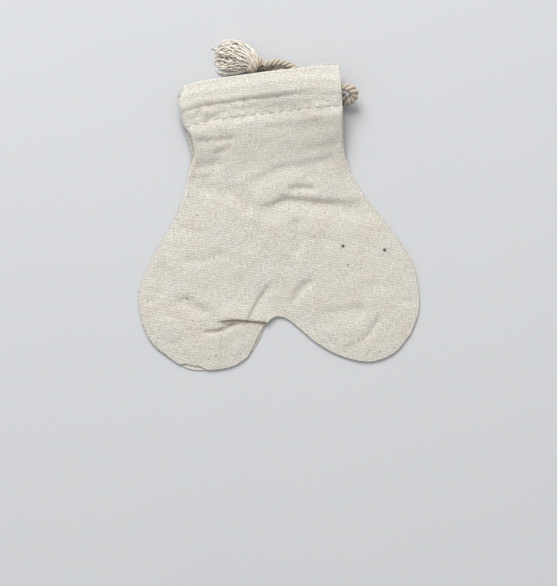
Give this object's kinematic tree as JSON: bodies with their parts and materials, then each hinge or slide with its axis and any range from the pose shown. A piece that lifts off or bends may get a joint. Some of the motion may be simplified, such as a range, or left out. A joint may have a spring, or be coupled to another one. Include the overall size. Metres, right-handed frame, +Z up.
{
  "type": "drawstring tea bag",
  "caption": "Empty two-lobed cloth drawstring bag for brewing loose tea, lying flat, with a twisted cord through its hem, knotted and frayed to a tassel.",
  "frame": {"origin": "on the surface it lies on, under the middle of the cloth", "axes": "+Y towards the mouth, +Z up out of the front panel, +X along the mouth towards its open end of the hem"},
  "size_m": [0.0988, 0.1177, 0.0085],
  "materials": {
    "calico": "unbleached plain-weave cotton",
    "twine": "twisted unbleached cotton cord"
  },
  "bodies": {
    "root": {"front_panel": "calico", "back_panel": "calico", "drawstring": "twine", "knot": "twine", "tassel": "twine"}
  },
  "joints": []
}
